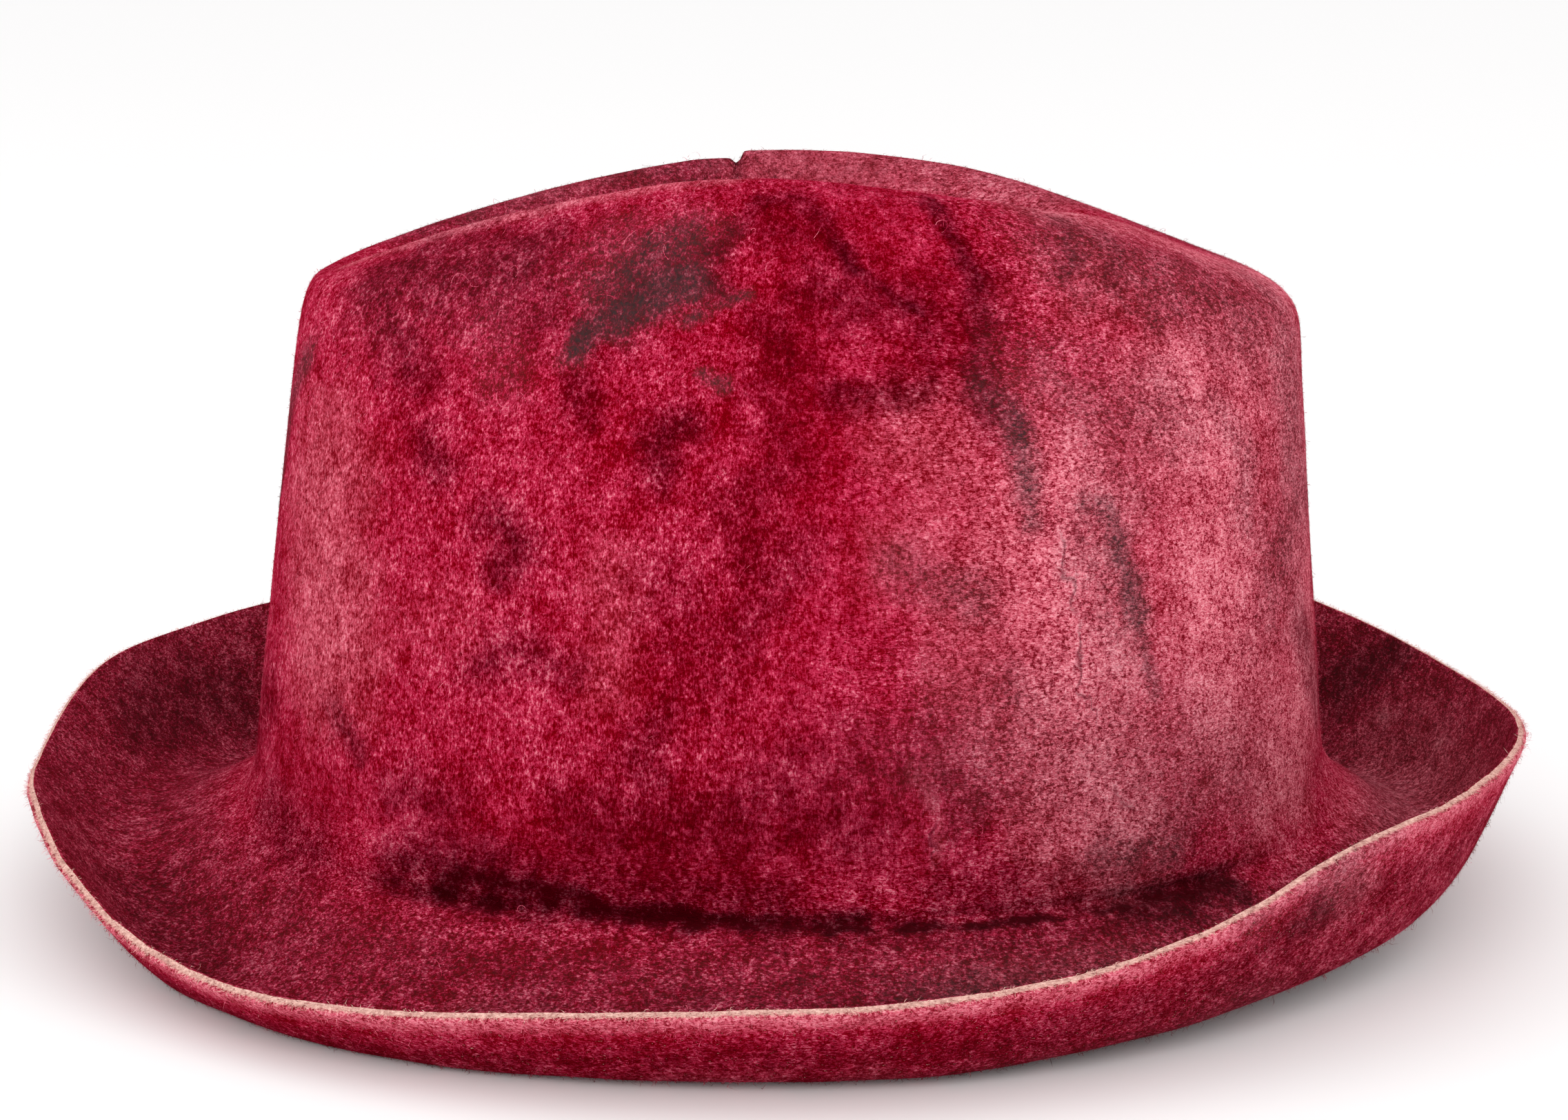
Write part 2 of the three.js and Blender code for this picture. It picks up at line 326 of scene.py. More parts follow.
# Dye: the felt was dyed crimson by hand and rubbed with darker colour; a few strokes below paint shade or
# highlight instead, as marked. Each stroke of the brush is a line of points seen square on from one side,
# in millimetres: (x, z) from the near or far side, (y, z) from the front or back, and (x, y) from above.
STROKES = [
    # tone    side     half-width  strength  points
    # Smoke: a grey dye rubbed on over the crimson.
    ("smoke_and_shade", "near", 4, 0.78, [(-15, 130), (-22, 128), (-29, 125)]),
    ("smoke_and_shade", "near", 2.6, 0.8, [(-27, 127), (-33, 122), (-36, 118)]),
    ("smoke_and_shade", "near", 6.5, 0.65, [(-17, 137), (-24, 134), (-29, 129)]),
    ("smoke_and_shade", "near", 5, 0.35, [(-28, 138), (-34, 132)]),
    ("smoke_and_shade", "near", 3, 0.35, [(37, 113), (41, 109)]),
    ("smoke_and_shade", "near", 2.4, 0.7, [(42, 108), (44, 101), (45, 95)]),
    ("smoke_and_shade", "near", 1.8, 0.55, [(45, 95), (46, 89)]),
    ("smoke_and_shade", "near", 2.4, 0.6, [(56, 92), (59, 91), (61, 86)]),
    ("smoke_and_shade", "near", 2.8, 0.72, [(61, 86), (64, 79), (65, 71)]),
    ("smoke_and_shade", "near", 1.8, 0.5, [(65, 71), (67, 63), (69, 57)]),
    ("smoke_and_shade", "near", 6, 0.3, [(56, 88), (60, 76), (62, 66)]),
    ("smoke_and_shade", "near", 1.0, 0.7, [(-16, 124), (-11, 126), (-5, 129)]),
    ("smoke_and_shade", "near", 1.2, 0.7, [(-13, 115), (-9, 114)]),
    ("smoke_and_shade", "near", 10, 0.4, [(54, 137), (66, 132), (80, 126), (88, 120)]),
    ("smoke_and_shade", "near", 11, 0.12, [(-72, 124), (-60, 128), (-44, 128)]),
    ("smoke_and_shade", "near", 6, 0.25, [(-52, 122), (-49, 114)]),
    ("smoke_and_shade", "near", 9, 0.3, [(46, 116), (58, 108), (70, 106)]),
    ("smoke_and_shade", "near", 6, 0.25, [(60, 97), (64, 93)]),
    ("smoke_and_shade", "near", 4, 0.35, [(69, 133), (69, 122)]),
    ("smoke_and_shade", "near", 4, 0.35, [(80, 128), (88, 115)]),
    ("smoke_and_shade", "near", 4, 0.3, [(81, 106), (87, 96), (88, 83)]),
    ("smoke_and_shade", "near", 5, 0.35, [(23, 82), (36, 76)]),
    ("smoke_and_shade", "near", 5, 0.35, [(44, 58), (41, 62)]),
    ("smoke_and_shade", "near", 14, 0.25, [(34, 52), (60, 46), (82, 38)]),
    ("smoke_and_shade", "near", 5, 0.35, [(59, 29), (71, 27), (82, 27)]),
    ("smoke_and_shade", "near", 9, 0.4, [(94, 122), (99, 84), (98, 34)]),
    ("smoke_and_shade", "far", 3, 0.6, [(42, 128), (30, 121), (22, 108)]),
    ("smoke_and_shade", "far", 8, 0.5, [(36, 118), (20, 112)]),
    ("smoke_and_shade", "far", 3, 0.45, [(-28, 126), (-38, 112), (-40, 102)]),
    ("smoke_and_shade", "far", 5, 0.35, [(-66, 90), (-60, 76), (-62, 60)]),
    ("smoke_and_shade", "far", 2.4, 0.5, [(64, 96), (68, 88), (70, 80)]),
    ("smoke_and_shade", "far", 9, 0.3, [(-74, 120), (-56, 130)]),
    ("smoke_and_shade", "front", 3, 0.6, [(-22, 112), (-14, 100), (-12, 84)]),
    ("smoke_and_shade", "front", 8, 0.3, [(20, 112), (26, 90)]),
    ("smoke_and_shade", "back", 2.8, 0.7, [(18, 116), (10, 100), (12, 82), (8, 66)]),
    ("smoke_and_shade", "back", 7, 0.4, [(-28, 96), (-20, 84)]),
    ("smoke_and_shade", "above", 6, 0.3, [(-50, 14), (-28, 20), (-16, 12)]),
    ("smoke_and_shade", "above", 3, 0.35, [(30, -8), (14, -12)]),
    ("smoke_and_shade", "above", 7, 0.4, [(74, 20), (86, 6)]),
    ("smoke_and_shade", "above", 9, 0.4, [(30, -104), (56, -98), (80, -88)]),
    ("smoke_and_shade", "above", 9, 0.35, [(-72, 24), (-44, 38), (-14, 42)]),
    ("smoke_and_shade", "above", 9, 0.25, [(-14, 42), (16, 41), (40, 36), (58, 22)]),
    # Dusk: maroon that soaked in, most of all in the dent; along the crease, in the pinch's groove and on the
    # brim below the crease it is painted shade.
    ("dusk_and_shade", "near", 2.2, 0.55, [(-11, 133), (-7, 140), (-2, 144), (4, 144), (9, 141), (11, 137)]),
    ("dusk_and_shade", "near", 1.7, 0.85, [(10, 137), (15, 132), (20, 129), (25, 126)]),
    ("dusk_and_shade", "near", 2, 0.75, [(28, 144), (32, 139), (34, 134), (37, 129)]),
    ("dusk_and_shade", "near", 3, 0.6, [(-11, 135), (-11, 129)]),
    ("dusk_and_shade", "near", 5, 0.5, [(-15, 131), (-24, 129), (-34, 121)]),
    ("dusk_and_shade", "near", 6, 0.5, [(8, 130), (15, 128), (26, 126)]),
    ("dusk_and_shade", "near", 3.5, 0.6, [(10, 113), (18, 112), (27, 113)]),
    ("dusk_and_shade", "near", 5, 0.45, [(0, 124), (3, 118)]),
    ("dusk_and_shade", "near", 4, 0.6, [(37, 130), (36, 122), (36, 114), (38, 109)]),
    ("dusk_and_shade", "near", 6, 0.35, [(28, 121), (27, 116)]),
    ("dusk_and_shade", "near", 2, 0.5, [(53, 139), (53, 133)]),
    ("dusk_and_shade", "near", 2, 0.4, [(61, 136), (61, 129)]),
    ("dusk_and_shade", "near", 4, 0.35, [(-2, 140), (8, 139)]),
    ("dusk_and_shade", "near", 10, 0.55, [(-72, 127), (-60, 130), (-46, 132)]),
    ("dusk_and_shade", "near", 5, 0.5, [(-72, 120), (-66, 112)]),
    ("dusk_and_shade", "near", 7, 0.4, [(-44, 130), (-41, 124)]),
    ("dusk_and_shade", "near", 3, 0.45, [(-35, 112), (-34, 107)]),
    ("dusk_and_shade", "near", 4, 0.55, [(-64, 101), (-61, 97)]),
    ("dusk_and_shade", "near", 4, 0.6, [(-51, 89), (-46, 85), (-49, 81)]),
    ("dusk_and_shade", "near", 4, 0.65, [(-16, 106), (-20, 104), (-20, 99)]),
    ("dusk_and_shade", "near", 5, 0.35, [(-1, 114), (3, 101), (-6, 93), (-3, 80), (4, 86)]),
    ("dusk_and_shade", "near", 4, 0.45, [(-54, 62), (-45, 66), (-38, 63)]),
    ("dusk_and_shade", "near", 4, 0.35, [(-2, 77), (-7, 70)]),
    ("dusk_and_shade", "near", 8, 0.25, [(-18, 78), (-14, 64)]),
    ("dusk_and_shade", "near", 4, 0.45, [(-19, 57), (-25, 48), (-20, 40)]),
    ("dusk_and_shade", "near", 6, 0.45, [(-28, 35), (-22, 28)]),
    ("dusk_and_shade", "near", 4, 0.4, [(9, 50), (11, 41)]),
    ("dusk_and_shade", "near", 2.5, 0.5, [(-83, 49), (-78, 42)]),
    ("dusk_and_shade", "near", 5, 0.45, [(-59, 37), (-69, 36)]),
    ("dusk_and_shade", "near", 6.5, 0.6, [(-62, 26), (-46, 25), (-24, 25), (0, 23)]),
    ("dusk_and_shade", "near", 9, 0.5, [(-34, 33), (-14, 34), (2, 38), (14, 36)]),
    ("dusk_and_shade", "near", 8, 0.4, [(4, 46), (22, 48), (34, 40)]),
    # Painted shade along the crease where the near wall meets the brim.
    ("dusk_and_shade", "near", 6, 0.45, [(-97, 24), (-88, 21)]),
    ("dusk_and_shade", "near", 4.5, 0.75, [(-69, 24), (-61, 25), (-55, 27)]),
    ("dusk_and_shade", "near", 4, 1, [(-60, 23), (-50, 23.5), (-40, 23)]),
    ("dusk_and_shade", "near", 3, 1, [(-40, 22.5), (-28, 21.5), (-15, 20)]),
    ("dusk_and_shade", "near", 2.2, 0.85, [(-15, 20), (3, 20), (16, 20)]),
    ("dusk_and_shade", "near", 6, 0.4, [(30, 26), (53, 24), (74, 28), (92, 27)]),
    ("dusk_and_shade", "far", 8, 0.5, [(-10, 110), (4, 96), (0, 80)]),
    ("dusk_and_shade", "far", 7, 0.5, [(56, 54), (40, 44)]),
    ("dusk_and_shade", "far", 7, 0.45, [(-70, 108), (-52, 116)]),
    ("dusk_and_shade", "far", 6, 0.35, [(-50, 24), (-30, 20), (-6, 19), (30, 20)]),
    ("dusk_and_shade", "front", 6, 0.5, [(20, 80), (26, 60)]),
    ("dusk_and_shade", "front", 8, 0.4, [(-20, 44), (-6, 36), (20, 40)]),
    ("dusk_and_shade", "back", 6, 0.5, [(-30, 60), (-18, 44)]),
    ("dusk_and_shade", "back", 7, 0.45, [(26, 40), (36, 56)]),
    # Painted shade: a thin dark line in the crease on the near side, and the shade on the brim below it.
    ("dusk_and_shade", "above", 1.3, 1, [(9, -87), (31, -85), (53, -79), (64, -74), (74, -68), (86, -59)]),
    ("dusk_and_shade", "above", 3, 0.35, [(9, -88), (40, -85), (62, -77), (80, -66)]),
    ("dusk_and_shade", "above", 3.6, 0.8, [(64, -75), (75, -69), (86, -61)]),
    ("dusk_and_shade", "above", 7, 0.25, [(-20, -101), (16, -102), (40, -98)]),
    ("dusk_and_shade", "above", 6, 0.15, [(-50, -92), (-36, -98)]),
    ("dusk_and_shade", "above", 9, 0.35, [(-72, 24), (-44, 38), (-14, 42)]),
    # Painted shade in the groove of the pinch.
    ("dusk_and_shade", "above", 1.2, 1, [(-8, 31), (-8, 46)]),
    ("dusk_and_shade", "above", 8, 0.35, [(-133, 33), (-127, 51), (-118, 62)]),
    ("dusk_and_shade", "above", 6, 0.5, [(124, 60), (133, 52)]),
    ("dusk_and_shade", "above", 7, 0.3, [(-122, -34), (-108, -58)]),
    ("dusk_and_shade", "above", 9, 0.5, [(40, 98), (62, 90)]),
    ("dusk_and_shade", "above", 8, 0.35, [(112, -50), (96, -70)]),
    # Crimson: where the first dye pooled.
    ("crimson", "near", 11, 0.8, [(3, 140), (0, 120), (0, 100), (-8, 76), (-15, 64)]),
    ("crimson", "near", 9, 0.6, [(28, 136), (30, 118)]),
    ("crimson", "near", 9, 0.4, [(44, 128), (56, 130), (64, 122)]),
    ("crimson", "near", 11, 0.5, [(-76, 94), (-73, 74), (-72, 54)]),
    ("crimson", "near", 8, 0.5, [(-40, 110), (-30, 104), (-38, 92)]),
    ("crimson", "near", 6, 0.5, [(-79, 108), (-72, 98), (-75, 88)]),
    ("crimson", "near", 8, 0.5, [(-36, 66), (-26, 54), (-10, 56)]),
    ("crimson", "near", 9, 0.7, [(-58, 40), (-40, 34), (-22, 30), (6, 30)]),
    ("crimson", "near", 5, 0.6, [(-90, 40), (-84, 34)]),
    ("crimson", "near", 7, 0.5, [(8, 92), (14, 86)]),
    ("crimson", "far", 13, 0.7, [(12, 132), (16, 104), (8, 74)]),
    ("crimson", "far", 10, 0.6, [(-60, 44), (-30, 38)]),
    ("crimson", "front", 10, 0.5, [(4, 104), (10, 60)]),
    ("crimson", "back", 10, 0.6, [(0, 108), (-6, 70)]),
    ("crimson", "above", 8, 0.4, [(-80, -64), (-62, -76), (-40, -84)]),
    # Rose: where the first dye took thinly or is rubbed away, and painted highlight along the near ridge's
    # crest.
    ("rose_and_highlight", "near", 6, 0.06, [(-84, 60), (-70, 68), (-57, 70)]),
    ("rose_and_highlight", "near", 5, 0.15, [(-29, 82), (-30, 62)]),
    ("rose_and_highlight", "near", 8, 0.35, [(26, 104), (38, 96)]),
    ("rose_and_highlight", "near", 7, 0.3, [(28, 90), (24, 84)]),
    ("rose_and_highlight", "near", 9, 0.55, [(40, 84), (38, 74)]),
    ("rose_and_highlight", "near", 9, 0.4, [(38, 66), (40, 52)]),
    ("rose_and_highlight", "near", 10, 0.4, [(54, 106), (50, 98)]),
    ("rose_and_highlight", "near", 13, 0.95, [(52, 92), (56, 72), (56, 54), (60, 38)]),
    ("rose_and_highlight", "near", 15, 1, [(78, 106), (83, 94), (84, 74), (84, 54)]),
    ("rose_and_highlight", "near", 12, 1, [(97, 108), (101, 80), (101, 50), (96, 38)]),
    ("rose_and_highlight", "near", 12, 0.3, [(60, 130), (76, 124), (90, 116)]),
    ("rose_and_highlight", "near", 5, 0.6, [(97, 34), (102, 28)]),
    ("rose_and_highlight", "near", 0.7, 0.4, [(24, 47), (27, 42), (29, 37), (29, 30)]),
    ("rose_and_highlight", "near", 0.7, 0.4, [(41, 41), (42, 36), (43, 29)]),
    ("rose_and_highlight", "near", 0.9, 0.9, [(58, 62), (59, 52), (62, 43), (66, 35)]),
    ("rose_and_highlight", "near", 0.7, 0.6, [(69, 40), (71, 31)]),
    ("rose_and_highlight", "far", 16, 0.7, [(-60, 110), (-74, 80), (-70, 56)]),
    ("rose_and_highlight", "far", 14, 0.6, [(70, 110), (88, 84), (92, 56)]),
    ("rose_and_highlight", "front", 12, 0.5, [(-36, 90), (-44, 60)]),
    ("rose_and_highlight", "back", 14, 0.6, [(36, 100), (44, 60)]),
    ("rose_and_highlight", "back", 13, 0.7, [(-36, 110), (-48, 80), (-50, 50)]),
    # Painted highlight along the crest of the near ridge.
    ("rose_and_highlight", "above", 1.8, 0.7, [(-82, -11), (-62, -26), (-38, -35), (-10, -40), (20, -37),
        (46, -27), (58, -15)]),
    # Painted highlight on the near ridge's crest towards its back end.
    ("rose_and_highlight", "above", 9, 0.9, [(50, -30), (66, -14), (80, -20), (94, -14), (97, 6)]),
    ("rose_and_highlight", "above", 10, 0.45, [(0, 40), (30, 38), (56, 20)]),
    ("rose_and_highlight", "above", 7, 0.35, [(-60, 32), (-30, 40)]),
    ("rose_and_highlight", "above", 14, 0.45, [(126, 30), (132, 8), (124, -18)]),
    ("rose_and_highlight", "above", 8, 0.4, [(40, -98), (80, -84), (100, -66)]),
    ("rose_and_highlight", "above", 7, 0.4, [(-60, -98), (-20, -108), (16, -110)]),
    ("rose_and_highlight", "above", 0.6, 0.8, [(133, 44), (137, 32), (138, 20)]),
    ("rose_and_highlight", "above", 0.5, 0.7, [(128, 50), (134, 34), (135, 20)]),
]
VIEWS = {
    "near": ((0, 1, 0), lambda a, b: (a, -300, b)),
    "far": ((0, -1, 0), lambda a, b: (a, 300, b)),
    "front": ((1, 0, 0), lambda a, b: (-300, a, b)),
    "back": ((-1, 0, 0), lambda a, b: (300, a, b)),
    "above": ((0, 0, -1), lambda a, b: (a, b, 300)),
}


def on_felt(side, a, b):
    """The point of the outer skin that is seen at (a, b) from a side, in millimetres."""
    ray, start = VIEWS[side]
    return np.array(outer_skin.ray_cast(Vector(start(a, b)) * MM, Vector(ray))[0]) / MM


def away_from(points, line):
    """Each point's distance from a line of points."""
    nearest = np.full(len(points), np.inf)
    for start, end in zip(line, line[1:]):
        along = end - start
        part = np.clip((points - start) @ along / (along @ along), 0, 1)
        nearest = np.minimum(nearest, np.linalg.norm(points - start - part[:, None] * along, axis=1))
    return nearest


def wandered(width):
    """The felt's points, moved about so that a stroke of this half-width has an uneven, furry outline."""
    return spots / MM + min(1.5, 0.2 + 0.1 * width) * wander


wander = np.stack([
    3 * bump_at(spots, 11 * MM, seed) + 3.2 * bump_at(spots, 3.6 * MM, seed + 3) for seed in (11, 12, 13)
], axis=1)
tones = {name: np.zeros(count) for name in ("smoke_and_shade", "dusk_and_shade", "crimson", "rose_and_highlight")}
for tone, side, width, strength, line in STROKES:
    away = away_from(wandered(width), [on_felt(side, *point) for point in line])
    tones[tone] = np.maximum(tones[tone], strength * (1 - ramp(away, 0, 2 * width)))

# Where the felt was folded while it dried, a fine crack stays. crack_side is the distance in millimetres to
# one side or the other of it, and crack_near fades to nothing away from it and at its ends.
CRACKS = [
    [(50, 92), (53, 80), (54, 72), (55, 59), (59, 50), (62, 43)],
    [(56, 60), (58, 52), (61, 44), (66, 34)],
    [(27, 46), (28, 36), (29, 27)],
]
crack_side = np.full(count, 9.0)
crack_near = np.zeros(count)
moved = wandered(3)
for crack in CRACKS:
    line = np.array([on_felt("near", *point) for point in crack])
    for start, end in zip(line, line[1:]):
        away = away_from(moved, [start, end])
        run = (end - start) / np.linalg.norm(end - start)
        aside = (moved - start)[:, 0] * run[2] - (moved - start)[:, 2] * run[0]
        nearer = away < np.abs(crack_side)
        crack_side[nearer] = (np.sign(aside) * away)[nearer]
    end_gap = np.minimum(np.linalg.norm(moved - line[0], axis=1), np.linalg.norm(moved - line[-1], axis=1))
    close = (1 - ramp(away_from(moved, line), 2.5, 4)) * ramp(end_gap, 1, 5) * (through < 0.5)
    crack_near = np.maximum(crack_near, close)

# Over the strokes lie broad tones: darker dye with painted shade on the brim's top, painted shade in the
# crease, inside the crown and under the brim away from a band beside the cut edge, a darker dent, and an
# underside whose back end is rosier than its front.
on_top = through < 0.5
brim_top = ramp(break_past, -3, 12) * on_top
under_brim = ramp(break_past, 0, 6) * ~on_top
dent = (1 - ramp(np.hypot((x + 12) / 68, y / 36), 0.75, 1.1)) * ramp(z, 112, 118) * on_top
# Where the near wall sags over the brim, the crease gets painted shade.
crease_shade = sag * tight * hump(break_past, 0.3, 1.7)
# Painted shade and a darker dye on the brim's top, more towards the far side and less at the back end.
tones["dusk_and_shade"] += (0.28 + 0.04 * ramp(y, -40, 40) - 0.08 * ramp(x, 95, 130)) * brim_top
# Darker in the dent, and painted shade in the crease.
tones["dusk_and_shade"] += 0.15 * dent + 0.35 * crease_shade
# Painted shade on the underside, where it faces down: none by the cut edge, more away from it and towards the
# back.
tones["dusk_and_shade"] += (0.44 + 0.1 * hump(x, 70, 40)) * ramp(edge_away, 2, 12) * under_brim
# Painted shade inside the crown.
tones["dusk_and_shade"] += 0.3 * (~on_top & (break_past <= 0))
# Grey on the brim's top, partly dye and partly painted shade, more towards the back; the dent is greyer too.
tones["smoke_and_shade"] += (0.18 + 0.1 * ramp(x, -60, 60)) * brim_top + 0.1 * dent
tones["rose_and_highlight"] = np.maximum(tones["rose_and_highlight"], 0.12 * ramp(x, 30, 110) * under_brim)
tones["crimson"] = np.maximum(tones["crimson"], 0.7 * under_brim * (1 - 0.6 * ramp(x, 30, 110)))
for name in ("dusk_and_shade", "smoke_and_shade"):
    tones[name] = np.clip(tones[name], 0, 1)

# The brush was drawn up the crown, but across the back of its near side and round the brim.
combed = np.maximum(ramp(break_past, -20, -2), ramp(x + 16 * bump_at(spots, 24 * MM, 14), -14, 46))

laid_on = {
    "through": through, "edge_away": edge_away, "crack_side": crack_side, "crack_near": crack_near,
    "combed": combed, **tones,
}


def lay(mesh, name, values):
    """Store a number at each point of a mesh, for its material to read."""
    layer = mesh.attributes.new(name, "FLOAT", "POINT")
    layer.data.foreach_set("value", values.astype(np.float32))


for name, values in laid_on.items():
    lay(felt.data, name, values)


# The first dye's colours where it took fully and where it took thinly, as rows of tint and colour.
FULL_DYE = [
    (0, "#700008"), (0.3, "#8A0217"), (0.5, "#A31737"), (0.7, "#BE2F50"), (0.85, "#CE4563"),
    (1, "#E07487"),
]
THIN_DYE = [(0, "#7E101E"), (0.2, "#A22B41"), (0.5, "#D46173"), (0.8, "#EA8392"), (1, "#F5A1AC")]
DUSK_AND_SHADE = "#3A0006"
SMOKE_AND_SHADE = "#3A2C2D"
FOLD_SHADE = "#5A0C1C"
CORE_SHADE = "#B07870"
CORE_PALE = "#F6CCBE"


def wool_colour(tree, lighter=None):
    """The felt's colour at a point, painted shade and highlight included, and how far its fibres stand up
    there.
    """

    def maths(operation, a, b=0, c=0):
        return add(tree, "ShaderNodeMath", {0: a, 1: b, 2: c}, operation=operation).outputs[0]

    def product(*values):
        whole = values[0]
        for value in values[1:]:
            whole = maths("MULTIPLY", whole, value)
        return whole

    def total(*parts):
        """The sum of the values, each times its weight."""
        whole = product(*parts[0])
        for value, weight in parts[1:]:
            whole = maths("MULTIPLY_ADD", value, weight, whole)
        return whole

    def between(value, low, high):
        return add(tree, "ShaderNodeMapRange", {"Value": value, "From Min": low, "From Max": high}).outputs[0]

    def mixed(amount, under, over):
        blended = add(tree, "ShaderNodeMix", {0: amount, 6: under, 7: over}, data_type="RGBA")
        return blended.outputs[2]

    def laid(name):
        return add(tree, "ShaderNodeAttribute", attribute_name=name).outputs["Fac"]

    def scaled(vector, scale):
        return add(tree, "ShaderNodeMapping", {"Vector": vector, "Scale": scale}).outputs[0]

    def field(vector, per_mm, detail, roughness=0.5):
        return add(tree, "ShaderNodeTexNoise", {
            "Vector": vector, "Scale": per_mm, "Detail": detail, "Roughness": roughness,
        }).outputs["Fac"]

    def spread(noise, half):
        """Noise stretched to fill 0 to 1, and cut off beyond half either side of its middle."""
        return between(noise, 0.5 - half, 0.5 + half)

    # Places in millimetres, drawn out up the crown and drawn out round it.
    place = add(tree, "ShaderNodeVectorMath", {
        0: add(tree, "ShaderNodeTexCoord").outputs["Object"], 1: (1 / MM, 1 / MM, 1 / MM),
    }, operation="MULTIPLY").outputs[0]
    upright, across = scaled(place, (1, 1, 0.8)), scaled(place, (0.7, 0.9, 1.3))
    combed = laid("combed")

    def brushed(up, around):
        """One of two values, by the way that the felt was brushed there."""
        return add(tree, "ShaderNodeMix", {0: combed, 2: up, 3: around}).outputs[0]

    # The wool's own unevenness, from the broad to the fine.
    clouds = spread(field(upright, 0.026, 3, 0.55), 0.14)
    streaks = spread(field(upright, 0.09, 2, 0.6), 0.14)
    patches = spread(field(upright, 0.26, 3, 0.8), 0.14)
    tufts = brushed(*(spread(field(way, 1.2, 2, 0.9), 0.18) for way in (upright, across)))
    drawn_out = scaled(upright, (1, 1, 0.35)), scaled(across, (0.5, 1, 1))
    grain = brushed(*(spread(field(way, 3.2, 1, 0.8), 0.18) for way in drawn_out))

    # Thin curled threads, where a field of noise crosses its middle, broken into short lengths.
    off_middle = maths("ABSOLUTE", maths("SUBTRACT", field(upright, 1.1, 1.5), 0.5))
    threads = product(between(off_middle, 0.04, 0.012), between(field(upright, 0.88, 0), 0.57, 0.42))

    # The gaps between the tufts are thin, crooked and broken; they dip in the relief and are painted darker,
    # as shade.
    crooked = add(tree, "ShaderNodeTexNoise", {
        "Vector": upright, "Scale": 0.9, "Detail": 2, "Roughness": 0.6,
    })
    crooked = add(tree, "ShaderNodeVectorMath", {
        0: crooked.outputs["Color"], 1: (2.4, 2.4, 2.4), 2: upright,
    }, operation="MULTIPLY_ADD").outputs[0]
    shaded_gaps = add(tree, "ShaderNodeTexVoronoi", {"Vector": crooked, "Scale": 0.75}, feature="DISTANCE_TO_EDGE")
    shaded_gaps = product(
        between(shaded_gaps.outputs["Distance"], 0.13, 0.03),
        between(field(upright, 1.3, 1), 0.42, 0.56),
        maths("MULTIPLY_ADD", combed, 0.26, 0.2),
    )

    # Just under the cut edge the felt is worn, and brighter.
    frayed = total((laid("edge_away"), 1), (maths("SUBTRACT", tufts, 0.5), 1.6))
    worn = product(between(frayed, 4.6, 1.6), between(laid("through"), 0.3, 0.6))

    # A crack is a dip in the relief, painted with a dark line of shade between two lips of painted highlight.
    side = maths("ABSOLUTE", total((laid("crack_side"), 1), (maths("SUBTRACT", patches, 0.5), 0.8)))
    lip_highlights = product(between(side, 1.8, 0.6), laid("crack_near"))
    crack = product(between(side, 0.7, 0.1), laid("crack_near"), between(streaks, 0.1, 0.6))

    # The tint is low where the dye is deep and full and in the painted shade of the gaps, and high where it
    # is thin and pale and on the painted highlight of a crack's lips.
    tint = total(
        (clouds, 0.1), (streaks, 0.18), (patches, 0.32), (tufts, 0.62),
        (grain, maths("MULTIPLY_ADD", combed, 0.1, 0.52)),
        (threads, 0.14), (shaded_gaps, -1), (worn, 0.2), (lip_highlights, 0.16), (laid("crimson"), -0.18), (0.35, -1),
    )
    if lighter is not None:
        tint = maths("ADD", tint, lighter)

    def shades(stops):
        """The tint as a colour, between rows of tint and colour."""
        colours = add(tree, "ShaderNodeValToRGB", {"Fac": tint})
        for _ in stops[2:]:
            colours.color_ramp.elements.new(1)
        for element, (position, colour) in zip(colours.color_ramp.elements, stops):
            element.position = position
            element.color = linear(colour)
        return colours.outputs["Color"]

    def soaked(name, over, unevenness):
        """How much of a dye shows: it lies deep, and what stands over it keeps more of the crimson."""
        amount = laid(name)
        shallow = product(amount, maths("SUBTRACT", 1.15, amount), unevenness)
        uneven = maths("SUBTRACT", amount, product(maths("SUBTRACT", over, 0.5), shallow))
        uneven.node.use_clamp = True
        return uneven

    thinly = maths("MAXIMUM", laid("rose_and_highlight"), product(worn, 0.5))
    tone = mixed(thinly, shades(FULL_DYE), shades(THIN_DYE))
    # Dusk and smoke carry painted shade as well as dye: along the crease, inside the crown and on the brim.
    dusk_and_shade = soaked("dusk_and_shade", total((tufts, 0.5), (patches, 0.5)), 1.6)
    tone = mixed(product(dusk_and_shade, maths("MULTIPLY_ADD", worn, -0.7, 1)), tone, linear(DUSK_AND_SHADE))
    tone = mixed(soaked("smoke_and_shade", tufts, 1.7), tone, linear(SMOKE_AND_SHADE))
    # Painted shade in the crack.
    tone = mixed(product(crack, 0.7), tone, linear(FOLD_SHADE))
    height = total((tufts, 1), (grain, 1), (shaded_gaps, -1), (crack, -1))

    # The raw cut shows the undyed core, which lies nearer the top skin and is of uneven width.
    depth = laid("through")
    core = product(between(depth, 0.02, 0.09), between(depth, maths("MULTIPLY_ADD", height, 0.2, 0.52), 0.5))
    # Where the core's fibres lie low it is darker: painted shade.
    pale = mixed(product(height, 0.6), linear(CORE_SHADE), linear(CORE_PALE))
    return mixed(core, tone, pale), height


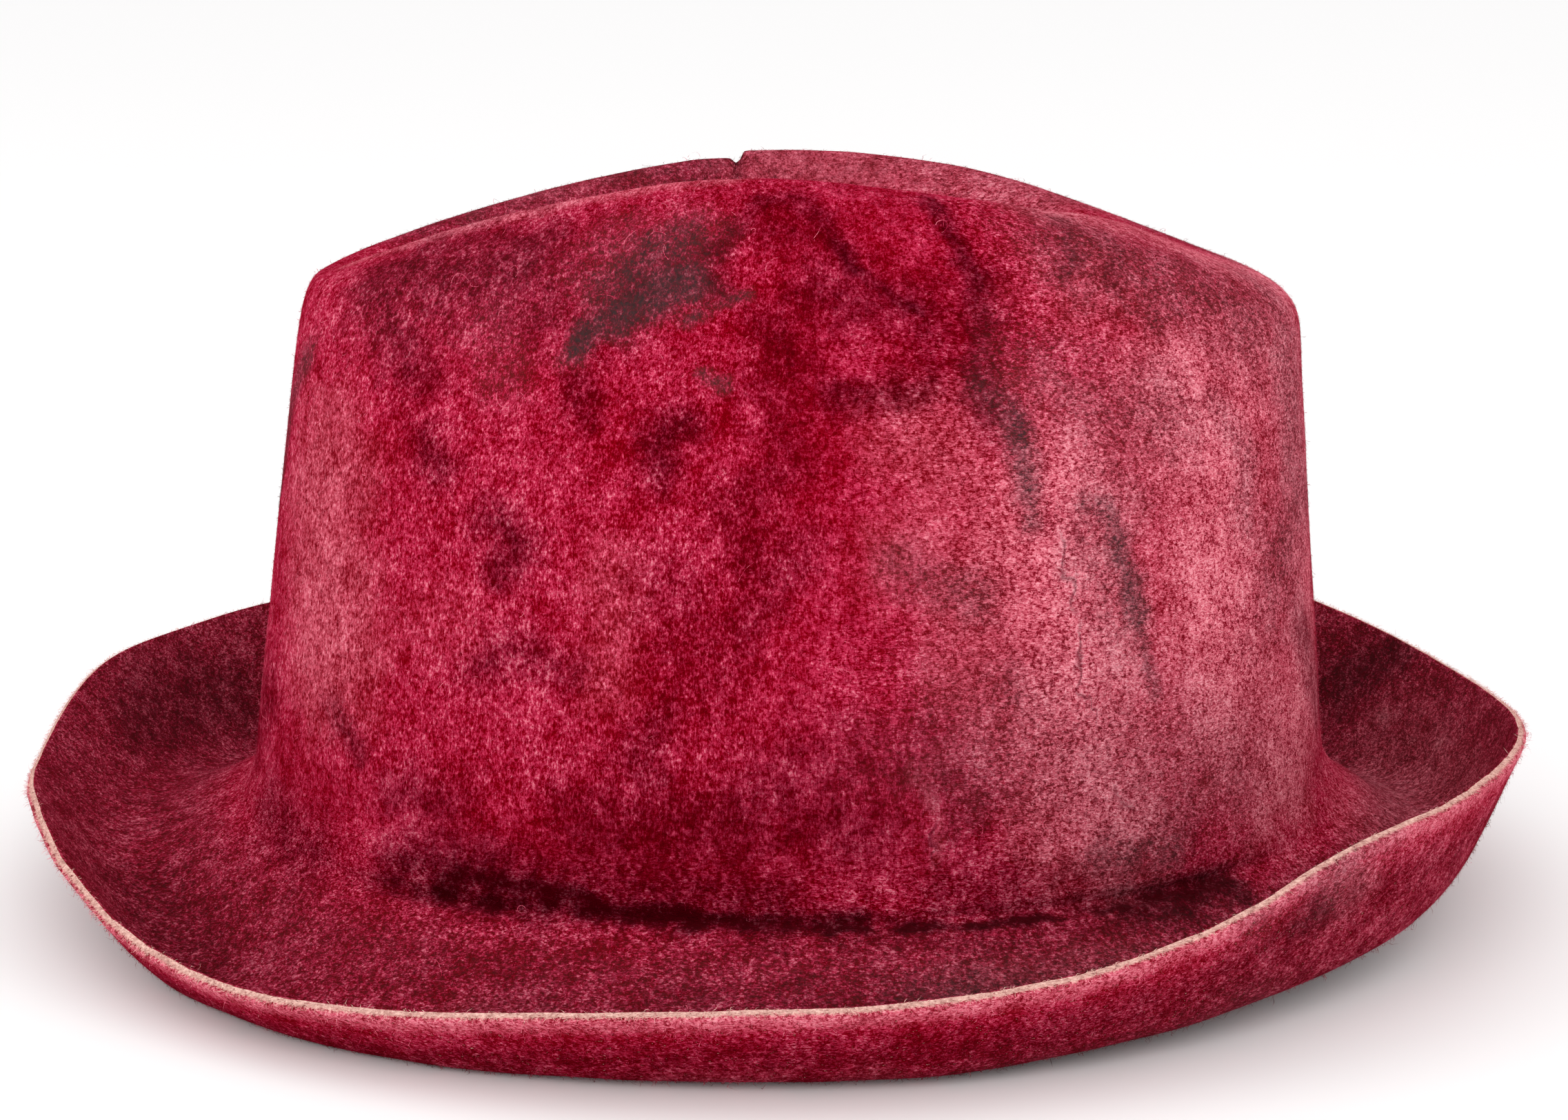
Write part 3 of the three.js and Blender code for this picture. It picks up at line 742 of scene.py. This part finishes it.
# Brushed wool felt: no shine at all, a faint red bloom where it turns away, and fine tufts, streaks and
# patches of unevenly taken dye that keep any part of it from looking flat. Some of its colour is painted
# shade and painted highlight, in the creases, on the brim, in the tufts' gaps and along the near ridge.
felt_wool, tree, shader = new_material("brushed_wool_felt")
surface, height = wool_colour(tree)
tree.links.new(surface, shader.inputs["Base Color"])
shader.inputs["Roughness"].default_value = 0.95
shader.inputs["Specular IOR Level"].default_value = 0
shader.inputs["Sheen Weight"].default_value = 0.1
shader.inputs["Sheen Roughness"].default_value = 0.4
shader.inputs["Sheen Tint"].default_value = linear("#C83C54")
relief = add(tree, "ShaderNodeBump", {"Height": height, "Strength": 0.5, "Distance": 0.25 * MM})
tree.links.new(relief.outputs[0], shader.inputs["Normal"])
felt.data.materials.clear()
felt.data.materials.append(felt_wool)
for polygon in felt.data.polygons:
    polygon.material_index = 0
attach(felt, "root")
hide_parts("felt_body")


# Nap: brushing lifts the ends of the wool out of the felt. Most lie nearly flat, and a few stand up and
# make the outline soft. Each fibre is a flat ribbon pointed at both ends, and takes the colour under it,
# painted shade and highlight included.
felt.data.calc_loop_triangles()
triangles = np.empty(len(felt.data.loop_triangles) * 3, np.int64)
felt.data.loop_triangles.foreach_get("vertices", triangles)
triangles = triangles.reshape(-1, 3)
skin_normals = np.empty(count * 3)
felt.data.vertices.foreach_get("normal", skin_normals)
skin_normals = skin_normals.reshape(-1, 3)
corners = spots[triangles]
two_sides = corners[:, 1] - corners[:, 0], corners[:, 2] - corners[:, 0]
triangle_area = np.linalg.norm(np.cross(*two_sides), axis=1) / 2 / MM ** 2
deep = through[triangles].mean(axis=1)
outer, inner = deep <= 0.15, deep >= 0.85
on_edge = ~outer & ~inner
on_crown = break_past[triangles].mean(axis=1) < 0
at_front = corners[:, 0, 0] < 0
# The nap leans down the hat and a little to one side.
LEAN = np.array([0.15, 0.1, -1])
NAP = [
    # name, where it grows, fibres to a square millimetre, length (mm), share that stands up
    ("crown_front_nap", outer & on_crown & at_front, 2.3, 1.1, 0.05),
    ("crown_back_nap", outer & on_crown & ~at_front, 2.2, 1.1, 0.05),
    ("brim_top_nap", outer & ~on_crown, 2.0, 1.1, 0.05),
    ("brim_under_nap", inner & ~on_crown, 1.4, 1.6, 0.12),
    ("crown_inside_nap", inner & on_crown, 0.3, 1.5, 0.10),
    ("cut_edge_nap", on_edge, 9, 1.0, 0.6),
]


def unit(vectors):
    """Rows of vectors, each made one long."""
    return vectors / np.maximum(np.linalg.norm(vectors, axis=1, keepdims=True), 1e-12)


def grow(name, where, per_mm2, length, standing, seed):
    """A mesh of wool fibres on the chosen triangles of the felt."""
    dice = np.random.default_rng(seed)
    chosen = np.flatnonzero(where)
    fibres = int(triangle_area[chosen].sum() * per_mm2)
    chance = triangle_area[chosen] / triangle_area[chosen].sum()
    root_triangle = triangles[dice.choice(chosen, fibres, p=chance)]
    a, b = dice.random((2, fibres))
    a, b = np.where(a + b > 1, 1 - a, a), np.where(a + b > 1, 1 - b, b)
    shares = np.stack([1 - a - b, a, b], axis=1)

    def at_root(values):
        return np.einsum("ij,ij...->i...", shares, values[root_triangle])

    root, normal = at_root(spots), unit(at_root(skin_normals))
    down = unit(LEAN - normal * (normal @ LEAN)[:, None])
    aside = np.cross(normal, down)
    turn = 2.2 * bump_at(root, 9 * MM, seed) + dice.normal(0, 0.8, fibres)
    heading = down * np.cos(turn)[:, None] + aside * np.sin(turn)[:, None]
    across = np.cross(normal, heading)
    long = length * MM * np.clip(dice.lognormal(0, 0.35, fibres), 0.4, 2.2)
    stands = dice.random(fibres) < standing
    rise = np.where(stands, dice.uniform(0.25, 0.55, fibres), dice.uniform(0.05, 0.2, fibres)) * long
    flat = np.sqrt(np.maximum(long ** 2 - rise ** 2, 0))
    curl = dice.normal(0, 0.16, fibres) * long
    half = dice.uniform(0.035, 0.055, fibres) * MM
    middle = root + heading * (0.5 * flat)[:, None] + normal * (0.65 * rise)[:, None] + across * curl[:, None]
    tip = root + heading * flat[:, None] + normal * rise[:, None] - across * (0.4 * curl)[:, None]
    # The root is just under the felt, and nothing passes the floor.
    root = root - normal * (0.03 * MM)
    sides = middle + across * half[:, None], middle - across * half[:, None]
    points = np.stack([root, *sides, tip], axis=1).reshape(-1, 3)
    points[:, 2] = np.maximum(points[:, 2], 0.01 * MM)
    start = np.arange(fibres)[:, None] * 4
    loops = (start + np.array([0, 1, 2, 2, 1, 3])).ravel()
    mesh = bpy.data.meshes.new(name)
    mesh.vertices.add(len(points))
    mesh.vertices.foreach_set("co", points.ravel())
    mesh.loops.add(len(loops))
    mesh.loops.foreach_set("vertex_index", loops.astype(np.int32))
    mesh.polygons.add(fibres * 2)
    mesh.polygons.foreach_set("loop_start", np.arange(0, len(loops), 3, dtype=np.int32))
    mesh.update(calc_edges=True)
    for layer_name, values in laid_on.items():
        lay(mesh, layer_name, np.repeat(at_root(values), 4))
    lay(mesh, "faded", np.repeat(dice.random(fibres) ** 1.5, 4))
    # Each fibre has its own small cell of the map, row by row.
    across_map = math.ceil(math.sqrt(fibres))
    cell = np.stack([np.arange(fibres) % across_map, np.arange(fibres) // across_map], axis=1)
    inset = np.array([[0.5, 0.2], [0.8, 0.5], [0.2, 0.5], [0.2, 0.5], [0.8, 0.5], [0.5, 0.8]])
    flat_map = mesh.uv_layers.new(name="OFBake")
    flat_map.data.foreach_set("uv", ((cell[:, None] + inset) / across_map).ravel())
    piece = bpy.data.objects.new(name, mesh)
    bpy.context.collection.objects.link(piece)
    return piece


# Brushed wool nap: the felt's own colour, painted shade and highlight included, on single fibres, whose
# rubbed ends are paler and catch the light.
brushed_nap, tree, shader = new_material("brushed_wool_nap")
faded = add(tree, "ShaderNodeAttribute", attribute_name="faded").outputs["Fac"]
lighter = add(tree, "ShaderNodeMath", {0: faded, 1: 0.28, 2: -0.06}, operation="MULTIPLY_ADD").outputs[0]
surface, _ = wool_colour(tree, lighter)
tree.links.new(surface, shader.inputs["Base Color"])
shader.inputs["Roughness"].default_value = 0.8
shader.inputs["Specular IOR Level"].default_value = 0
for seed, (name, where, per_mm2, length, standing) in enumerate(NAP, 31):
    nap = grow(name, where, per_mm2, length, standing, seed)
    nap.data.materials.append(brushed_nap)
    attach(nap, "root")


# Stray hairs: single pale hairs of the wool that worked loose and lie on the felt, held by one end. Each is
# a narrow ribbon that follows the felt, curls a little and arches up off it between its ends.
HAIRS = 320
HAIR_POINTS = 9
HAIR_HALF = 0.05 * MM
dice = np.random.default_rng(52)
hair_roots = spots[triangles[dice.choice(np.flatnonzero(~on_edge), HAIRS), 0]]
hair_points, hair_faces = [], []
for root in hair_roots:
    skin = min(outer_skin, inner_skin, key=lambda each: each.find_nearest(root)[3])
    _, normal, _, _ = skin.find_nearest(root)
    heading = normal.cross(Vector(dice.normal(0, 1, 3))).normalized()
    step = dice.uniform(0.2, 0.65) * MM
    bend = dice.normal(0, 0.3)
    arch = dice.uniform(0.2, 0.8)
    place = Vector(root)
    for i in range(HAIR_POINTS):
        part = i / (HAIR_POINTS - 1)
        on_skin, normal, _, _ = skin.find_nearest(place)
        heading = (heading - normal * heading.dot(normal)).normalized()
        aside = normal.cross(heading)
        centre = on_skin + normal * ((0.4 + arch * math.sin(part * math.pi)) * MM)
        for sign in (-1, 1):
            point = centre + aside * (sign * HAIR_HALF * (1 - 0.6 * part))
            hair_points.append((point.x, point.y, max(point.z, 0.05 * MM)))
        if i:
            last = len(hair_points) - 4
            hair_faces.append((last, last + 2, last + 3, last + 1))
        heading = heading + aside * (bend + dice.normal(0, 0.12))
        place = on_skin + heading.normalized() * step
hair_mesh = bpy.data.meshes.new("stray_hairs")
hair_mesh.from_pydata(hair_points, [], hair_faces)
lay(hair_mesh, "faded", np.repeat(dice.uniform(1, 2, HAIRS), 2 * HAIR_POINTS))
hairs = bpy.data.objects.new("stray_hairs", hair_mesh)
bpy.context.collection.objects.link(hairs)
hairs.data.materials.append(brushed_nap)
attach(hairs, "root")
